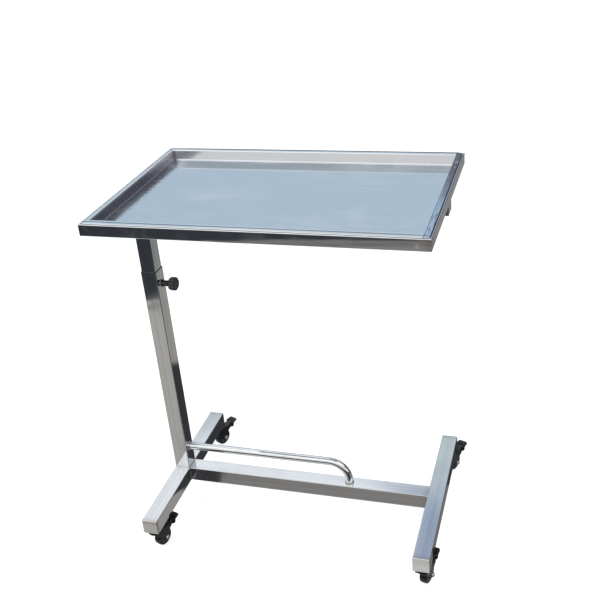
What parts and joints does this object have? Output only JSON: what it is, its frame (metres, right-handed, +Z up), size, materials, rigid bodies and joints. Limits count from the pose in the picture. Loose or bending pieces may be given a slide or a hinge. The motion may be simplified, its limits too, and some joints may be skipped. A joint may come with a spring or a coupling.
{
  "type": "instrument cart",
  "caption": "Height-adjustable over-table instrument cart with a lift-out steel tray in a tubular frame, side column, H-shaped base with foot rail and braked swivel casters.",
  "frame": {"origin": "on the floor under the centre of the overall box, all four casters standing on z = 0", "axes": "+Z up; +X along the tray from the column side to the free side; -Y the front, the side nearest the viewer in the picture"},
  "size_m": [0.7052, 0.5086, 0.864],
  "materials": {
    "tube_stainless": "mirror-polished stainless tube",
    "tray_stainless": "bright rolled stainless sheet",
    "bright_round_steel": "mirror-polished round stainless",
    "zinc_steel": "zinc-plated fasteners",
    "black_oxide": "blackened turned steel",
    "brass": "turned brass",
    "black_plastic": "moulded, slightly satin",
    "black_painted_steel": "black satin coat on pressed steel",
    "wheel_core": "moulded dark grey nylon",
    "tyre_rubber": "smooth black tread"
  },
  "bodies": {
    "base": {"foot_left": "tube_stainless", "foot_right": "tube_stainless", "foot_cap_front_left": "tube_stainless", "foot_cap_back_left": "tube_stainless", "foot_cap_front_right": "tube_stainless", "foot_cap_back_right": "tube_stainless", "crossbeam": "tube_stainless", "foot_rail": "bright_round_steel", "outer_column": "tube_stainless", "clamp_boss": "black_oxide", "caster_front_left_kingpin": "zinc_steel", "caster_front_left_kingpin_nut": "zinc_steel", "caster_front_left_race": "black_painted_steel", "caster_back_left_kingpin": "zinc_steel", "caster_back_left_kingpin_nut": "zinc_steel", "caster_back_left_race": "black_painted_steel", "caster_front_right_kingpin": "zinc_steel", "caster_front_right_kingpin_nut": "zinc_steel", "caster_front_right_race": "black_painted_steel", "caster_back_right_kingpin": "zinc_steel", "caster_back_right_kingpin_nut": "zinc_steel", "caster_back_right_race": "black_painted_steel"},
    "mast": {"inner_column": "tube_stainless", "inner_column_plug": "black_plastic", "support_arm": "tube_stainless", "arm_end_cap_left": "tube_stainless", "arm_end_cap_right": "tube_stainless", "frame_rail_front": "tube_stainless", "frame_rail_right": "tube_stainless", "frame_rail_back": "tube_stainless", "frame_rail_left": "tube_stainless"},
    "tray_body": {"tray": "tray_stainless"},
    "clamp_tip_body": {"clamp_tip": "brass"},
    "clamp_knob_body": {"clamp_stud": "bright_round_steel", "clamp_knob": "black_plastic"},
    "caster_front_left_swivel_body": {"caster_front_left_fork": "black_painted_steel", "caster_front_left_axle": "zinc_steel", "caster_front_left_axle_nut": "zinc_steel"},
    "caster_front_left_wheel_body": {"caster_front_left_tyre": "tyre_rubber", "caster_front_left_hub": "wheel_core"},
    "caster_front_left_pedal_body": {"caster_front_left_pedal": "black_plastic"},
    "caster_back_left_swivel_body": {"caster_back_left_fork": "black_painted_steel", "caster_back_left_axle": "zinc_steel", "caster_back_left_axle_nut": "zinc_steel"},
    "caster_back_left_wheel_body": {"caster_back_left_tyre": "tyre_rubber", "caster_back_left_hub": "wheel_core"},
    "caster_back_left_pedal_body": {"caster_back_left_pedal": "black_plastic"},
    "caster_front_right_swivel_body": {"caster_front_right_fork": "black_painted_steel", "caster_front_right_axle": "zinc_steel", "caster_front_right_axle_nut": "zinc_steel"},
    "caster_front_right_wheel_body": {"caster_front_right_tyre": "tyre_rubber", "caster_front_right_hub": "wheel_core"},
    "caster_front_right_pedal_body": {"caster_front_right_pedal": "black_plastic"},
    "caster_back_right_swivel_body": {"caster_back_right_fork": "black_painted_steel", "caster_back_right_axle": "zinc_steel", "caster_back_right_axle_nut": "zinc_steel"},
    "caster_back_right_wheel_body": {"caster_back_right_tyre": "tyre_rubber", "caster_back_right_hub": "wheel_core"},
    "caster_back_right_pedal_body": {"caster_back_right_pedal": "black_plastic"}
  },
  "joints": [
    {"name": "mast_height", "type": "slide", "parent": "base", "child": "mast", "axis": [0, 0, 1], "range_m": [-0.16, 0.24]},
    {"name": "tray_lift", "type": "slide", "parent": "mast", "child": "tray_body", "axis": [0, 0, 1], "range_m": [0, 0.15]},
    {"name": "clamp_feed", "type": "slide", "parent": "base", "child": "clamp_tip_body", "axis": [1, 0, 0], "range_m": [0, 0.0025]},
    {"name": "clamp_turn", "type": "hinge", "parent": "clamp_tip_body", "child": "clamp_knob_body", "pos_m": [-0.33364, -0.02434, 0.618], "axis": [1, 0, 0], "range_deg": [0, 722]},
    {"name": "caster_front_left_swivel", "type": "hinge", "parent": "base", "child": "caster_front_left_swivel_body", "pos_m": [-0.33364, -0.22834, 0.055], "axis": [0, 0, 1], "continuous": true},
    {"name": "caster_front_left_spin", "type": "hinge", "parent": "caster_front_left_swivel_body", "child": "caster_front_left_wheel_body", "pos_m": [-0.32846, -0.20902, 0.0225], "axis": [-0.9659, 0.2588, 0], "continuous": true},
    {"name": "caster_front_left_brake", "type": "hinge", "parent": "caster_front_left_swivel_body", "child": "caster_front_left_pedal_body", "pos_m": [-0.32432, -0.19356, 0.046], "axis": [-0.9659, 0.2588, 0], "range_deg": [0, 14]},
    {"name": "caster_back_left_swivel", "type": "hinge", "parent": "base", "child": "caster_back_left_swivel_body", "pos_m": [-0.33364, 0.17966, 0.055], "axis": [0, 0, 1], "continuous": true},
    {"name": "caster_back_left_spin", "type": "hinge", "parent": "caster_back_left_swivel_body", "child": "caster_back_left_wheel_body", "pos_m": [-0.32647, 0.19833, 0.0225], "axis": [-0.9336, 0.3584, 0], "continuous": true},
    {"name": "caster_back_left_brake", "type": "hinge", "parent": "caster_back_left_swivel_body", "child": "caster_back_left_pedal_body", "pos_m": [-0.32073, 0.21327, 0.046], "axis": [-0.9336, 0.3584, 0], "range_deg": [0, 14]},
    {"name": "caster_front_right_swivel", "type": "hinge", "parent": "base", "child": "caster_front_right_swivel_body", "pos_m": [0.31136, -0.22834, 0.055], "axis": [0, 0, 1], "continuous": true},
    {"name": "caster_front_right_spin", "type": "hinge", "parent": "caster_front_right_swivel_body", "child": "caster_front_right_wheel_body", "pos_m": [0.31586, -0.20885, 0.0225], "axis": [-0.9744, 0.225, 0], "continuous": true},
    {"name": "caster_front_right_brake", "type": "hinge", "parent": "caster_front_right_swivel_body", "child": "caster_front_right_pedal_body", "pos_m": [0.31946, -0.19326, 0.046], "axis": [-0.9744, 0.225, 0], "range_deg": [0, 14]},
    {"name": "caster_back_right_swivel", "type": "hinge", "parent": "base", "child": "caster_back_right_swivel_body", "pos_m": [0.31136, 0.17966, 0.055], "axis": [0, 0, 1], "continuous": true},
    {"name": "caster_back_right_spin", "type": "hinge", "parent": "caster_back_right_swivel_body", "child": "caster_back_right_wheel_body", "pos_m": [0.31918, 0.19807, 0.0225], "axis": [-0.9205, 0.3907, 0], "continuous": true},
    {"name": "caster_back_right_brake", "type": "hinge", "parent": "caster_back_right_swivel_body", "child": "caster_back_right_pedal_body", "pos_m": [0.32543, 0.2128, 0.046], "axis": [-0.9205, 0.3907, 0], "range_deg": [0, 14]}
  ],
  "couplings": [
    {"joint": "clamp_turn", "follows": "clamp_feed", "rad_per_m": 5026.5}
  ]
}
